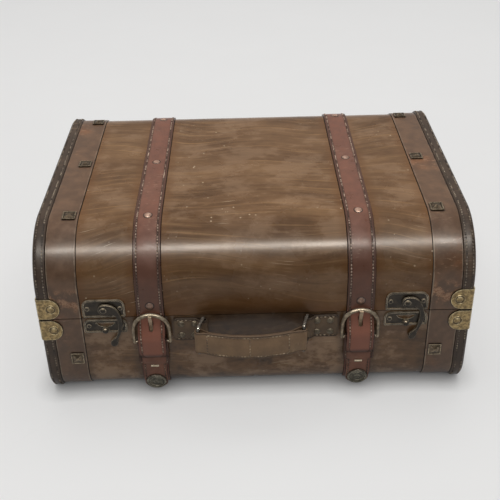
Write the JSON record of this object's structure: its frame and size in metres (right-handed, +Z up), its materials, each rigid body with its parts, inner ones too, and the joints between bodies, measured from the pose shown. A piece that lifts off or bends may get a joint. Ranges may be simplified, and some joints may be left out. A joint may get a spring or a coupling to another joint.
{
  "type": "dome top trunk",
  "caption": "Wooden trunk case with rounded lid edges, leather bands and edging, buckled straps, swing-hook clasps, brass corners and a leather carrying handle.",
  "frame": {"origin": "middle of the wooden underside, on the floor", "axes": "+X to the right seen from the front, +Y to the back, +Z up; the handle is on the -Y side"},
  "size_m": [0.4554, 0.3932, 0.1944],
  "materials": {
    "wood": "aged brown veneer, satin varnish",
    "end_board": "aged brown veneer, satin varnish",
    "lining_cloth": "plain woven cotton",
    "band_leather": "smooth grey-brown leather",
    "edging_leather": "dark brown leather, stitched",
    "strap_leather": "reddish brown leather, stitched edges",
    "handle_leather": "worn brown leather, stitched",
    "stud_iron": "dark bronzed iron",
    "corner_brass": "worn brass",
    "rivet_copper": "rubbed copper",
    "clasp_bronze": "dark antique bronze with rubbed edges",
    "buckle_metal": "antique brass",
    "ring_steel": "darkened steel",
    "hinge_metal": "antique brass"
  },
  "bodies": {
    "base": {"base_shell": "wood", "base_end_left": "end_board", "base_end_right": "end_board", "base_lining": "lining_cloth", "base_band_left": "band_leather", "base_band_right": "band_leather", "base_edging_left": "edging_leather", "base_edging_right": "edging_leather", "base_strap_left": "strap_leather", "base_strap_right": "strap_leather", "handle_tab_left": "handle_leather", "handle_tab_right": "handle_leather", "base_band_studs": "stud_iron", "base_corners": "corner_brass", "base_strap_rivets": "rivet_copper", "handle_rivets": "rivet_copper", "clasp_keep_left": "clasp_bronze", "clasp_keep_right": "clasp_bronze", "clasp_keep_screws": "clasp_bronze", "snap_studs": "buckle_metal", "hinge_base_leaves": "hinge_metal", "hinge_pins": "hinge_metal", "hinge_base_screws": "hinge_metal"},
    "lid": {"lid_shell": "wood", "lid_end_left": "end_board", "lid_end_right": "end_board", "lid_lining": "lining_cloth", "lid_band_studs": "stud_iron", "lid_corners": "corner_brass", "clasp_rivets": "clasp_bronze", "clasp_plate_screws": "clasp_bronze", "strap_rivets": "rivet_copper", "hinge_lid_leaves": "hinge_metal", "hinge_lid_screws": "hinge_metal", "lid_band_left": "band_leather", "lid_band_right": "band_leather", "lid_edging_left": "edging_leather", "lid_edging_right": "edging_leather", "lid_strap_left": "strap_leather", "lid_strap_right": "strap_leather", "clasp_plate_left": "clasp_bronze", "clasp_plate_right": "clasp_bronze"},
    "hook_left": {"clasp_hook_left": "clasp_bronze"},
    "handle_ring_left": {"handle_ring_left": "ring_steel"},
    "strap_flap_left": {"strap_tail_left": "strap_leather", "buckle_tab_left": "strap_leather", "snap_cap_left": "buckle_metal"},
    "buckle_left": {"buckle_frame_left": "buckle_metal", "buckle_prong_left": "buckle_metal"},
    "hook_right": {"clasp_hook_right": "clasp_bronze"},
    "handle_ring_right": {"handle_ring_right": "ring_steel"},
    "strap_flap_right": {"strap_tail_right": "strap_leather", "buckle_tab_right": "strap_leather", "snap_cap_right": "buckle_metal"},
    "buckle_right": {"buckle_frame_right": "buckle_metal", "buckle_prong_right": "buckle_metal"},
    "handle_grip": {"handle_grip": "handle_leather"}
  },
  "joints": [
    {"name": "lid_hinge", "type": "hinge", "parent": "base", "child": "lid", "pos_m": [0, 0.1785, 0.1], "axis": [-1, 0, 0], "range_deg": [0, 105]},
    {"name": "hook_swing_left", "type": "hinge", "parent": "lid", "child": "hook_left", "pos_m": [-0.157, -0.17775, 0.112], "axis": [0, -1, 0], "range_deg": [-16, 20]},
    {"name": "strap_fold_left", "type": "hinge", "parent": "lid", "child": "strap_flap_left", "pos_m": [-0.109, -0.1754, 0.1085], "axis": [-1, 0, 0], "range_deg": [0, 60]},
    {"name": "buckle_pivot_left", "type": "hinge", "parent": "strap_flap_left", "child": "buckle_left", "pos_m": [-0.109, -0.1801, 0.072], "axis": [1, 0, 0], "range_deg": [0, 4]},
    {"name": "hook_swing_right", "type": "hinge", "parent": "lid", "child": "hook_right", "pos_m": [0.157, -0.17775, 0.112], "axis": [0, -1, 0], "range_deg": [-16, 40]},
    {"name": "strap_fold_right", "type": "hinge", "parent": "lid", "child": "strap_flap_right", "pos_m": [0.109, -0.1754, 0.1085], "axis": [-1, 0, 0], "range_deg": [0, 60]},
    {"name": "buckle_pivot_right", "type": "hinge", "parent": "strap_flap_right", "child": "buckle_right", "pos_m": [0.109, -0.1801, 0.072], "axis": [1, 0, 0], "range_deg": [0, 4]},
    {"name": "handle_swing", "type": "hinge", "parent": "base", "child": "handle_ring_left", "pos_m": [-0.054, -0.17775, 0.084], "axis": [0, 0, 1], "range_deg": [-30, 60]},
    {"name": "handle_swing_right", "type": "hinge", "parent": "base", "child": "handle_ring_right", "pos_m": [0.054, -0.17775, 0.084], "axis": [0, 0, 1], "range_deg": [-30, 60]},
    {"name": "grip_turn", "type": "hinge", "parent": "handle_ring_left", "child": "handle_grip", "pos_m": [-0.05944, -0.19803, 0.084], "axis": [0, 0, 1], "range_deg": [-60, 30]}
  ],
  "couplings": [
    {"joint": "handle_swing_right", "follows": "handle_swing", "ratio": 1},
    {"joint": "grip_turn", "follows": "handle_swing", "ratio": -1}
  ]
}
